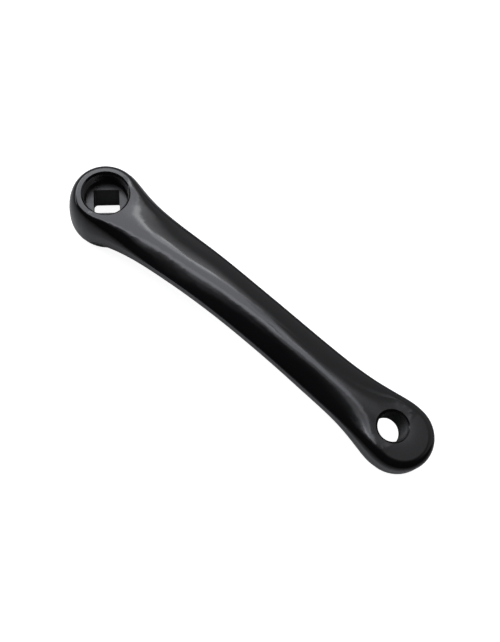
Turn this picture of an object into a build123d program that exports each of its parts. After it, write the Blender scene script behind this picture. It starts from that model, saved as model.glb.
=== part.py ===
from build123d import *
from collections import namedtuple
from math import radians, tan
import os

# Left crank arm, forged in one piece. Millimetres. The origin is on the spindle axis at the inner
# face of the boss, X runs along the arm to the pedal axis, and Z points out, away from the bicycle.

# Boss around the spindle, with the round seat behind it
crank_length = 170.0
boss_depth = 25.4
boss_radius = 18.2
rim_width = 5.0
seat_height = 0.6
seat_inset = 1.0
seat_chamfer_width = 2.8
seat_chamfer_height = 1.55
seat_depth = 7.0

# Extractor counterbore, at the thread's major diameter
extractor_radius = 11.0
extractor_depth = 8.3
extractor_chamfer = 0.6
extractor_floor_radius = 9.8
extractor_foot = 1.2

# Square taper socket, with a corner towards the arm
socket_flats = 12.3
socket_taper = 2.0
socket_floor_corner = 0.6
socket_mouth_corner = 1.9
socket_turn = 45.0

# Pedal hole, at the thread's major diameter
pedal_radius = 7.144
pedal_chamfer = 0.5

# Edge between the flanks and the flat back
flank_turn = 22.0
back_chamfer_width = 1.6
back_chamfer_height = 0.9

# How far the cutting profiles stand out of the faces that they cut
cut_margin = 1.0

# Share of a rounded shoulder that its two handles take, which makes it a quarter of an ellipse
ellipse_handle = 0.5523

# Sections of the arm: place along it, half width, height of the front above the boss, thickness,
# half width of the crowned land on the front and how far it falls there, depth of the rounded
# shoulder's foot below the front, and height of the upright belt under it
Section = namedtuple("Section", "x half_width rise thickness land fall shoulder belt")

# Sections placed from the spindle axis
hub = Section(0.0, boss_radius, 0.0, boss_depth - seat_height, boss_radius - rim_width, 0.0, 17.4, 1.8)
collar = Section(4.0, 17.88, 0.0, 24.0, 12.7, 0.06, 14.6, 1.8)
throat = Section(9.0, 16.6, 0.02, 22.6, 10.6, 0.08, 11.0, 1.8)
root = Section(18.0, 14.6, 0.2, 20.0, 7.6, 0.4, 7.8, 1.8)
neck = Section(28.0, 13.4, 1.1, 17.2, 6.6, 0.85, 6.1, 1.8)
ramp = Section(42.0, 12.6, 3.6, 15.4, 6.5, 1.5, 5.3, 2.0)
knee = Section(60.0, 12.05, 6.8, 14.5, 6.2, 1.3, 4.9, 2.0)
shin = Section(80.0, 11.55, 8.6, 14.1, 6.0, 1.25, 4.9, 2.0)
waist = Section(100.0, 11.4, 8.9, 14.0, 6.0, 1.2, 4.9, 2.0)

# Sections placed from the pedal axis
calf = Section(-52.0, 11.5, 8.3, 14.0, 6.0, 1.1, 4.9, 2.0)
wrist = Section(-36.0, 11.85, 7.6, 14.0, 6.0, 1.0, 4.9, 2.0)
cheek = Section(-18.0, 12.85, 7.4, 14.3, 7.0, 0.7, 4.4, 2.8)
brow = Section(-5.0, 14.85, 7.3, 15.1, 10.4, 0.15, 4.3, 5.0)
eye = Section(4.95, 15.82, 7.3, 15.2, 11.6, 0.0, 4.6, 5.6)

from_spindle = (hub, collar, throat, root, neck, ramp, knee, shin, waist)
from_pedal = (calf, wrist, cheek, brow, eye)


def across(x):
    """Plane across the arm, with its first axis along Y and its second along Z."""
    return Plane(origin=(x, 0, 0), x_dir=(0, 1, 0), z_dir=(1, 0, 0))


def shoulder(start, corner, end):
    """Quarter of an ellipse from start to end, tangent to the sides of its corner."""
    start, corner, end = Vector(*start), Vector(*corner), Vector(*end)
    Bezier(
        start,
        start + (corner - start) * ellipse_handle,
        end + (corner - end) * ellipse_handle,
        end,
    )


def arm_crown(section):
    """Half of the crowned land on the front of a section of the arm."""
    front = boss_depth + section.rise
    Bezier((0, front), (section.land / 2, front), (section.land, front - section.fall))


def arm_side(section):
    """One side of a section of the arm, from the edge of its land to the middle of its back."""
    front = boss_depth + section.rise
    back = front - section.thickness
    belt_top = front - section.shoulder
    belt_bottom = belt_top - section.belt
    flank_end = back + back_chamfer_height
    flank_middle = (belt_bottom + flank_end) / 2
    back_width = section.half_width - (flank_middle - flank_end) * tan(radians(flank_turn))
    back_land = back_width - back_chamfer_width
    land_edge = front - section.fall
    edge_slope = 2 * section.fall / section.land
    shoulder_top = land_edge - (section.half_width - section.land) * edge_slope
    shoulder((section.land, land_edge), (section.half_width, shoulder_top), (section.half_width, belt_top))
    Line((section.half_width, belt_top), (section.half_width, belt_bottom))
    Bezier((section.half_width, belt_bottom), (section.half_width, flank_middle), (back_width, flank_end))
    Line((back_width, flank_end), (back_land, back))
    Line((back_land, back), (0, back))


def end_profile(section):
    """Half of a section with a flat land, closed along its middle."""
    front = boss_depth + section.rise
    arm_side(section)
    Polyline((0, front - section.thickness), (0, front), (section.land, front))


eye_front = boss_depth + eye.rise
eye_back = eye_front - eye.thickness
eye_centre = crank_length + eye.x
seat_side_radius = boss_radius - seat_inset
seat_radius = seat_side_radius - seat_chamfer_width
extractor_floor = boss_depth - extractor_depth
socket_mouth_flats = socket_flats + 2 * extractor_floor * tan(radians(socket_taper))

with BuildPart() as crank_arm:
    # Arm, lofted from the spindle axis to the centre of the rounded end
    for axis_x, sections in ((0.0, from_spindle), (crank_length, from_pedal)):
        for section in sections:
            with BuildSketch(across(axis_x + section.x)):
                with BuildLine():
                    arm_crown(section)
                    arm_side(section)
                    mirror(about=Plane.YZ)
                make_face()
    loft()

    # Round side of the boss, half a turn of the first section
    with BuildSketch(across(hub.x)):
        with BuildLine():
            end_profile(hub)
        make_face()
    revolve(axis=Axis.Z, revolution_arc=180)

    # Rounded end beyond the pedal hole, half a turn of the last section
    with BuildSketch(across(eye_centre)):
        with BuildLine():
            end_profile(eye)
        make_face()
    revolve(axis=Axis((eye_centre, 0, 0), (0, 0, -1)), revolution_arc=180)

    # Round seat on the inner face, with a chamfered edge
    with BuildSketch(Plane.XZ):
        with BuildLine():
            Polyline(
                (0, 0),
                (seat_radius, 0),
                (seat_side_radius, seat_chamfer_height),
                (seat_side_radius, seat_depth),
                (0, seat_depth),
                close=True,
            )
        make_face()
    revolve(axis=Axis.Z)

    # Counterbore for the extractor, with a chamfered mouth and a sloping foot
    with BuildSketch(Plane.XZ):
        with BuildLine():
            Polyline(
                (0, extractor_floor),
                (extractor_floor_radius, extractor_floor),
                (extractor_radius, extractor_floor + extractor_foot),
                (extractor_radius, boss_depth - extractor_chamfer),
                (extractor_radius + extractor_chamfer + cut_margin, boss_depth + cut_margin),
                (0, boss_depth + cut_margin),
                close=True,
            )
        make_face()
    revolve(axis=Axis.Z, mode=Mode.SUBTRACT)

    # Square socket, tapering open towards the inner face
    with BuildSketch(Plane.XY.offset(extractor_floor)):
        RectangleRounded(socket_flats, socket_flats, socket_floor_corner, rotation=socket_turn)
    with BuildSketch(Plane.XY):
        RectangleRounded(socket_mouth_flats, socket_mouth_flats, socket_mouth_corner, rotation=socket_turn)
    loft(mode=Mode.SUBTRACT)

    # Pedal hole, with chamfered mouths
    with BuildSketch(Plane.XZ):
        with BuildLine():
            Polyline(
                (crank_length, eye_back - cut_margin),
                (crank_length + pedal_radius + pedal_chamfer + cut_margin, eye_back - cut_margin),
                (crank_length + pedal_radius, eye_back + pedal_chamfer),
                (crank_length + pedal_radius, eye_front - pedal_chamfer),
                (crank_length + pedal_radius + pedal_chamfer + cut_margin, eye_front + cut_margin),
                (crank_length, eye_front + cut_margin),
                close=True,
            )
        make_face()
    revolve(axis=Axis((crank_length, 0, 0), (0, 0, 1)), mode=Mode.SUBTRACT)

crank_arm.part.label = "crank_arm"
os.makedirs("parts", exist_ok=True)
export_step(crank_arm.part, "parts/crank_arm.step")
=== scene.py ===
import bpy
from math import cos, hypot, pi, radians, sin
from mathutils import Matrix, Vector


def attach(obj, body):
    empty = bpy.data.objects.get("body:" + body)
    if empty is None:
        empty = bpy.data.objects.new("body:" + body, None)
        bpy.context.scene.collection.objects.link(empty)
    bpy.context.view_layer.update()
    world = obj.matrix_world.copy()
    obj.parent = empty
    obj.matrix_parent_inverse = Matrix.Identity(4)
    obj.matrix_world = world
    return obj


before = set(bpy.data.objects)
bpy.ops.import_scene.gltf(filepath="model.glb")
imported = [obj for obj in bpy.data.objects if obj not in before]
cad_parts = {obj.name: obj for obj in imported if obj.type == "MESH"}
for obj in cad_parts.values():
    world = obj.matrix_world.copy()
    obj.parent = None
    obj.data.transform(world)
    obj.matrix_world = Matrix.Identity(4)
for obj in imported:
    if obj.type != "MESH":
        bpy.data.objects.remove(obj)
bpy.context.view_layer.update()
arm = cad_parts["crank_arm"]
scene = bpy.context.scene
scene.view_settings.view_transform = "Standard"

# Sizes shared with the CAD model, in metres
pedal_x = 0.170
extractor_radius = 0.011
extractor_mouth = 0.0116
extractor_floor = 0.0171
pedal_radius = 0.007144


def placed(x_axis, y_axis, z_axis, place):
    """World matrix of an object with these axes at this place."""
    return Matrix((*zip(x_axis, y_axis, z_axis, place), (0, 0, 0, 1)))


# Camera at the photograph's viewing angle: its axes, its place, and its focal length in pixels of
# a picture of this height
camera_right = Vector((0.759228, 0.640834, 0.113595))
camera_down = Vector((0.636509, -0.694723, -0.334987))
camera_ahead = Vector((-0.135754, 0.326635, -0.935350))
camera_place = Vector((0.140844, -0.120819, 0.363600))
focal_pixels = 796.6
picture_height = 642
sensor_width = 36.0

camera = bpy.data.objects.new("camera", bpy.data.cameras.new("camera"))
scene.collection.objects.link(camera)
camera.matrix_world = placed(camera_right, -camera_down, -camera_ahead, camera_place)
camera.data.sensor_fit = "AUTO"
camera.data.sensor_width = sensor_width
camera.data.lens = focal_pixels / picture_height * sensor_width
camera.data.clip_start = 0.01
scene.camera = camera


class Tree:
    """A node tree with short calls for adding, setting and linking its nodes."""

    def __init__(self, owner):
        owner.use_nodes = True
        self.nodes = owner.node_tree.nodes
        self.links = owner.node_tree.links

    def add(self, kind, links=None, values=None, **settings):
        """New node with its settings, the values of its sockets and the links into them."""
        node = self.nodes.new(kind)
        for name, value in settings.items():
            setattr(node, name, value)
        for socket, value in (values or {}).items():
            node.inputs[socket].default_value = value
        for socket, source in (links or {}).items():
            self.links.new(source, node.inputs[socket])
        return node

    def math(self, operation, *terms):
        """One operation on terms that are numbers or outputs."""
        node = self.nodes.new("ShaderNodeMath")
        node.operation = operation
        for socket, term in zip(node.inputs, terms):
            if isinstance(term, (int, float)):
                socket.default_value = term
            else:
                self.links.new(term, socket)
        return node.outputs[0]

    def distance(self, x, y):
        """Length of a step of x one way and y across it."""
        squares = self.math("MULTIPLY", x, x), self.math("MULTIPLY", y, y)
        return self.math("SQRT", self.math("ADD", *squares))

    def ramp(self, value, start, end, low, high, kind="LINEAR"):
        """Runs from low to high while the value runs from start to end."""
        return self.add(
            "ShaderNodeMapRange", {"Value": value},
            {"From Min": start, "From Max": end, "To Min": low, "To Max": high},
            interpolation_type=kind,
        ).outputs[0]

    def smooth(self, value, start, end, low, high):
        """The same, with a soft start and a soft end."""
        return self.ramp(value, start, end, low, high, "SMOOTHSTEP")

    def noise(self, place, scale, detail=2.0, roughness=0.5):
        return self.add(
            "ShaderNodeTexNoise", {"Vector": place},
            {"Scale": scale, "Detail": detail, "Roughness": roughness},
        ).outputs[0]

    def colours(self, value, first, second):
        """Mix of two colours. A mix node's colours are its sockets 6 and 7 and its output 2."""
        values = {6: (*first, 1), 7: (*second, 1)}
        return self.add("ShaderNodeMix", {"Factor": value}, values, data_type="RGBA").outputs[2]

    def bump(self, height, distance, under=None):
        """Normal of a relief this high, over another relief if there is one."""
        links = {"Height": height}
        if under is not None:
            links["Normal"] = under
        return self.add("ShaderNodeBump", links, {"Strength": 1.0, "Distance": distance}).outputs[0]

    def object_place(self):
        return self.add("ShaderNodeTexCoord").outputs["Object"]


# Patterns of the coats, by how often they repeat in a metre
patch_scale = 60.0
speck_scale = 2600.0
wave_scale = 70.0
peel_scale = 1100.0
turned_patch_scale = 180.0
ring_scale = 900.0
stroke_scale = 1500.0

# Share of the patches in the gloss, beside the specks, how far the tool's rings wander, and the
# scale of the broach's strokes along the spindle axis
patch_share = 0.7
ring_wander = 0.6
stroke_scale_along = 0.02

# Range in which most of a noise pattern lies
noise_low = 0.3
noise_high = 0.7


def new_coat(name, ior):
    """New material, with its tree and the places on the object."""
    material = bpy.data.materials.new(name)
    tree = Tree(material)
    tree.nodes["Principled BSDF"].inputs["IOR"].default_value = ior
    return material, tree, tree.object_place()


def dress(tree, tone, tones, gloss, roughness, normal):
    """Sets the colour between two tones, the roughness between two values, and the normal."""
    shader = tree.nodes["Principled BSDF"]
    tree.links.new(tree.colours(tone, *tones), shader.inputs["Base Color"])
    rough = tree.ramp(gloss, noise_low, noise_high, *roughness)
    tree.links.new(rough, shader.inputs["Roughness"])
    tree.links.new(normal, shader.inputs["Normal"])


def forged_coat(name, tones, roughness, ior, peel, wave):
    """Black coat over forged metal: fine orange peel, slow waves of the forging, uneven gloss."""
    material, tree, place = new_coat(name, ior)
    patches = tree.noise(place, patch_scale, detail=4.0, roughness=0.6)
    specks = tree.noise(place, speck_scale, roughness=0.6)
    gloss = tree.math(
        "ADD",
        tree.math("MULTIPLY", patches, patch_share),
        tree.math("MULTIPLY", specks, 1 - patch_share),
    )
    slow = tree.bump(tree.noise(place, wave_scale, detail=1.0), wave)
    fine = tree.bump(tree.noise(place, peel_scale), peel, slow)
    dress(tree, patches, tones, gloss, roughness, fine)
    return material


def turned_coat(name, tones, roughness, ior, rings):
    """Black coat over turned metal: fine rings left by the tool around the spindle axis."""
    material, tree, place = new_coat(name, ior)
    patches = tree.noise(place, turned_patch_scale, detail=3.0, roughness=0.6)
    turned = tree.add(
        "ShaderNodeTexWave", {"Vector": place},
        {"Scale": ring_scale, "Distortion": ring_wander, "Detail": 2.0},
        wave_type="RINGS", rings_direction="Z",
    ).outputs[1]
    dress(tree, patches, tones, patches, roughness, tree.bump(turned, rings))
    return material


def broached_coat(name, tones, roughness, ior, lines):
    """Black coat over broached metal: long fine lines along the spindle axis."""
    material, tree, place = new_coat(name, ior)
    drawn_out = {"Scale": (1.0, 1.0, stroke_scale_along)}
    long_place = tree.add("ShaderNodeMapping", {"Vector": place}, drawn_out).outputs[0]
    strokes = tree.noise(long_place, stroke_scale, detail=3.0, roughness=0.7)
    dress(tree, strokes, tones, strokes, roughness, tree.bump(strokes, lines))
    return material


coat = forged_coat(
    "black_coat", tones=((0.0022, 0.0022, 0.0026), (0.0036, 0.0036, 0.0040)),
    roughness=(0.09, 0.14), ior=1.5, peel=0.0000012, wave=0.00001,
)
bore = turned_coat(
    "bore_coat", tones=((0.003, 0.003, 0.0033), (0.005, 0.005, 0.0054)),
    roughness=(0.26, 0.34), ior=1.5, rings=0.000004,
)
socket = broached_coat(
    "socket_coat", tones=((0.002, 0.002, 0.0022), (0.004, 0.004, 0.0043)),
    roughness=(0.35, 0.5), ior=1.5, lines=0.000012,
)
hole = turned_coat(
    "hole_coat", tones=((0.0014, 0.0014, 0.0016), (0.0025, 0.0025, 0.0027)),
    roughness=(0.38, 0.48), ior=1.39, rings=0.000002,
)

# Coats of the arm, by where its faces are. The margins take in faces on a wall or a floor, and the
# normal of an upright face has less Z than this.
coats = (coat, bore, socket, hole)
wall_margin = 0.00005
floor_margin = 0.00002
upright = 0.5

arm.data.materials.clear()
for material in coats:
    arm.data.materials.append(material)
for face in arm.data.polygons:
    from_spindle = hypot(face.center.x, face.center.y)
    from_pedal = hypot(face.center.x - pedal_x, face.center.y)
    above_floor = face.center.z > extractor_floor - floor_margin
    if from_pedal < pedal_radius + wall_margin:
        face.material_index = coats.index(hole)
    elif from_spindle < extractor_radius + wall_margin and above_floor:
        face.material_index = coats.index(bore)
    elif from_spindle < extractor_mouth and abs(face.normal.z) < upright:
        face.material_index = coats.index(socket)

# Thread profile, in shares of the pitch: the ridge's height, and half of its foot and of its crest
ridge_height = 0.5413
half_foot = 0.4375
half_crest = 0.125

# How far the foot is sunk into the wall, the steps in a turn, the turns over which each end fades
# out, and the shares of the height and the width that are left there
foot_sunk = 0.00004
steps_in_turn = 96
fade_turns = 0.4
end_height = 0.02
end_width = 0.4

right_hand = 1
left_hand = -1


def thread(name, axis_x, major, pitch, z_from, z_to, hand, start, material):
    """Inner thread: a helical ridge with flanks of sixty degrees, fading out at its two ends."""
    crest = pitch * ridge_height
    profile = (
        (foot_sunk, half_foot),
        (0.0, half_foot),
        (-crest, half_crest),
        (-crest, -half_crest),
        (0.0, -half_foot),
        (foot_sunk, -half_foot),
    )
    count = len(profile)
    steps = int((z_to - z_from) / pitch * steps_in_turn)
    verts, faces = [], []
    for i in range(steps + 1):
        turn = i / steps_in_turn
        turns_left = (steps - i) / steps_in_turn
        fade = max(end_height, min(1.0, turn / fade_turns, turns_left / fade_turns))
        width = end_width + (1 - end_width) * fade
        angle = start + hand * 2 * pi * turn
        z = z_from + pitch * turn
        for depth, along in profile:
            radius = major + (depth * fade if depth < 0 else depth)
            x, y = axis_x + radius * cos(angle), radius * sin(angle)
            verts.append((x, y, z + along * pitch * width))
    for i in range(steps):
        for j in range(count):
            a, b = i * count + j, i * count + (j + 1) % count
            faces.append((a + count, b + count, b, a))
    faces.append(tuple(range(count)))
    faces.append(tuple(steps * count + j for j in reversed(range(count))))
    if hand == left_hand:
        faces = [face[::-1] for face in faces]
    mesh = bpy.data.meshes.new(name)
    mesh.from_pydata(verts, [], faces)
    mesh.polygons.foreach_set("use_smooth", [True] * len(mesh.polygons))
    for edge in mesh.edges:
        # The ridge is sharp along its corners
        edge.use_edge_sharp = abs(edge.vertices[0] - edge.vertices[1]) == count
    mesh.materials.append(material)
    ridge = bpy.data.objects.new(name, mesh)
    scene.collection.objects.link(ridge)
    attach(ridge, "root")


thread(
    "extractor_thread", axis_x=0.0, major=extractor_radius, pitch=0.001, z_from=0.0189,
    z_to=0.0244, hand=right_hand, start=0.0, material=bore,
)
thread(
    "pedal_thread", axis_x=pedal_x, major=pedal_radius, pitch=0.00127, z_from=0.0183,
    z_to=0.0318, hand=left_hand, start=radians(184.0), material=hole,
)

# Ground axes of the photograph: to its right, and to its top
ground_right = Vector((0.764, 0.645, 0.0))
ground_up = Vector((-0.645, 0.764, 0.0))

# Floor of white paper, with a pool of light painted into its colour: it is palest near the arm, and
# darkens between two distances from the line that joins its axes, so the arm mirrors a painted pool
# of light. The camera sees it lifted to an even white, and the arm mirrors it with a small lift of
# its own.
floor_half = 3.0
# Floor colour in the middle of the painted pool of light, then far from it
painted_pool_peak = 0.45
floor_far = 0.18
near_end = 0.02
far_start = 0.16
floor_light = 0.75
seen_lift = 0.92
gloss_lift = 0.03

floor_mesh = bpy.data.meshes.new("floor")
floor_mesh.from_pydata(
    [(x * floor_half, y * floor_half, 0) for x, y in ((-1, -1), (1, -1), (1, 1), (-1, 1))],
    [],
    [(0, 1, 2, 3)],
)
floor = bpy.data.objects.new("floor", floor_mesh)
scene.collection.objects.link(floor)
paper = bpy.data.materials.new("floor_paper")
tree = Tree(paper)
tree.nodes.clear()
spot = tree.add("ShaderNodeSeparateXYZ", {0: tree.object_place()}).outputs
half_arm = pedal_x / 2
from_middle = tree.math("ABSOLUTE", tree.math("SUBTRACT", spot["X"], half_arm))
past_end = tree.math("MAXIMUM", tree.math("SUBTRACT", from_middle, half_arm), 0.0)
beside = tree.distance(past_end, spot["Y"])
# Painted pool of light: the floor's colour is paler near the arm, where the arm mirrors it
painted_pool_tone = tree.smooth(beside, near_end, far_start, painted_pool_peak, floor_far)
diffuse = tree.add("ShaderNodeBsdfDiffuse", {"Color": painted_pool_tone})
path = tree.add("ShaderNodeLightPath").outputs
mirrored = tree.math("MAXIMUM", path["Is Glossy Ray"], path["Is Transmission Ray"])
darker = tree.math("SUBTRACT", painted_pool_peak, painted_pool_tone)
even = tree.math("ADD", tree.math("MULTIPLY", darker, floor_light), seen_lift)
lift = tree.math(
    "ADD",
    tree.math("MULTIPLY", path["Is Camera Ray"], even),
    tree.math("MULTIPLY", mirrored, gloss_lift),
)
lifted = tree.add("ShaderNodeEmission", {"Strength": lift})
both = tree.add("ShaderNodeAddShader", {0: diffuse.outputs[0], 1: lifted.outputs[0]})
tree.add("ShaderNodeOutputMaterial", {"Surface": both.outputs[0]})
floor_mesh.materials.append(paper)

# Lamps: a large softbox, a panel close above the arm, and a small fill. What stands just in front
# of the softbox adds to it. All are turned a little from the photograph's axes.
lamp_turn = radians(-7.0)
lamp_right = ground_right * cos(lamp_turn) + ground_up * sin(lamp_turn)
lamp_up = ground_up * cos(lamp_turn) - ground_right * sin(lamp_turn)
lamp_origin = Vector((0.09, 0, 0))
softbox_height = 1.2
front_height = 1.19
panel_height = 0.3
full_radiance = 2.7
cool = (0.91, 0.925, 1.0)
greenish = (0.93, 1.0, 0.96)


def lamp(name, radiance, colour, height, right, up):
    """Level area lamp, between two edges each way, given for each metre of its height."""
    data = bpy.data.lights.new(name, "AREA")
    data.shape = "RECTANGLE"
    data.color = colour
    data.size = (right[1] - right[0]) * height
    data.size_y = (up[1] - up[0]) * height
    data.energy = radiance * pi * data.size * data.size_y
    lit = bpy.data.objects.new(name, data)
    scene.collection.objects.link(lit)
    centre = lamp_right * (right[0] + right[1]) / 2 + lamp_up * (up[0] + up[1]) / 2
    place = lamp_origin + centre * height + Vector((0, 0, height))
    lit.matrix_world = placed(lamp_right, lamp_up, (0, 0, 1), place)
    lit.visible_camera = False


lamp("softbox", full_radiance, cool, softbox_height, right=(-1.1, -0.1), up=(0.031, 0.7))
lamp("softbox_corner", full_radiance, cool, softbox_height, right=(-0.1, 0.06), up=(0.08, 0.68))
lamp("softbox_right", full_radiance, cool, softbox_height, right=(0.06, 0.21), up=(0.25, 0.37))
lamp("softbox_right_upper", 1.9, cool, softbox_height, right=(0.06, 0.21), up=(0.37, 0.65))
lamp("softbox_right_edge", 0.9, cool, softbox_height, right=(0.21, 0.26), up=(0.25, 0.65))
lamp("near_panel", full_radiance, cool, panel_height, right=(0.1, 0.31), up=(-0.01, 0.211))
lamp("near_panel_left", full_radiance, cool, panel_height, right=(-0.06, 0.1), up=(-0.01, 0.043))
lamp("near_panel_edge", 0.95, cool, panel_height, right=(-0.06, 0.25), up=(-0.11, -0.01))
lamp("near_panel_side", 0.3, cool, panel_height, right=(0.31, 0.46), up=(0.08, 0.26))
lamp("softbox_left_fade", 0.4, cool, front_height, right=(-0.82, -0.44), up=(-0.1, 0.031))
lamp("softbox_lower_fade", 0.45, cool, softbox_height, right=(-1.1, -0.1), up=(-0.07, 0.031))
lamp("softbox_left_spill", 0.1, cool, front_height, right=(-0.82, -0.44), up=(-0.28, -0.1))
lamp("softbox_lower_spill", 0.14, cool, softbox_height, right=(-1.1, -0.24), up=(-0.22, -0.07))
lamp("softbox_top", full_radiance, cool, softbox_height, right=(-1.1, -0.44), up=(0.7, 0.88))
lamp("softbox_top_edge", 2.6, greenish, front_height, right=(-1.1, -0.44), up=(0.74, 0.88))
lamp("softbox_upper_edge", 2.6, greenish, front_height, right=(-0.44, -0.1), up=(0.62, 0.7))
lamp("softbox_upper_glow", 0.5, greenish, front_height, right=(-0.4, -0.2), up=(0.53, 0.62))
lamp("softbox_lower_edge", 1.2, cool, front_height, right=(-1.1, 0.06), up=(0.07, 0.2))
lamp("fill", 1.5, cool, panel_height, right=(0.465, 0.515), up=(0.052, 0.102))

# World: a studio sweep that is dark in front and pale behind, with a glow above the softbox, a pale
# side and a soft spill at the right. The camera sees plain white.
sky_colour = (0.98, 0.985, 1.02, 1)
lowest_slope = 0.05
glow_start = 0.6
glow_fall = 3.0
glow_strength = 1.8
spill_right = 0.33
spill_up = 0.19
seen_strength = 1.03

world = bpy.data.worlds.new("studio")
scene.world = world
tree = Tree(world)
background = tree.nodes["Background"].inputs
direction = tree.add("ShaderNodeTexCoord").outputs["Generated"]
slope = tree.add("ShaderNodeSeparateXYZ", {0: direction}).outputs["Z"]
slope = tree.math("MAXIMUM", slope, lowest_slope)


def reach(axis):
    """How far the sky's direction reaches along a ground axis for each metre of height."""
    along = tree.add("ShaderNodeVectorMath", {0: direction}, {1: axis}, operation="DOT_PRODUCT")
    return tree.math("DIVIDE", along.outputs["Value"], slope)


up = reach(ground_up)
across = reach(ground_right)

sweep = tree.smooth(up, start=-0.3, end=0.45, low=0.03, high=0.42)
horizon = tree.smooth(up, start=1.5, end=5.0, low=1.0, high=0.8)
sweep = tree.math("MULTIPLY", sweep, horizon)

side = tree.smooth(across, start=0.4, end=1.1, low=0.0, high=0.4)
behind = tree.smooth(up, start=-0.6, end=-0.1, low=0.0, high=1.0)
side = tree.math("MULTIPLY", side, behind)

off_right = tree.math("SUBTRACT", across, spill_right)
off_up = tree.math("SUBTRACT", up, spill_up)
spill = tree.smooth(tree.distance(off_right, off_up), start=0.0, end=0.35, low=0.3, high=0.0)

fade = tree.ramp(up, start=0.74, end=2.8, low=1.0, high=0.0)
inside = tree.smooth(across, start=0.0, end=0.62, low=1.0, high=0.0)
above = tree.math("GREATER_THAN", up, glow_start)
glow = tree.math("MULTIPLY", tree.math("POWER", fade, glow_fall), inside)
glow = tree.math("MULTIPLY", tree.math("MULTIPLY", glow, above), glow_strength)

lit_sweep = tree.math("ADD", tree.math("MAXIMUM", sweep, side), spill)
strength = tree.math("ADD", lit_sweep, glow)
path = tree.add("ShaderNodeLightPath").outputs
seen = tree.math("MAXIMUM", path["Is Camera Ray"], path["Is Transmission Ray"])
seen = tree.math("MULTIPLY", seen, seen_strength)
tree.links.new(tree.math("MAXIMUM", strength, seen), background["Strength"])
background["Color"].default_value = sky_colour
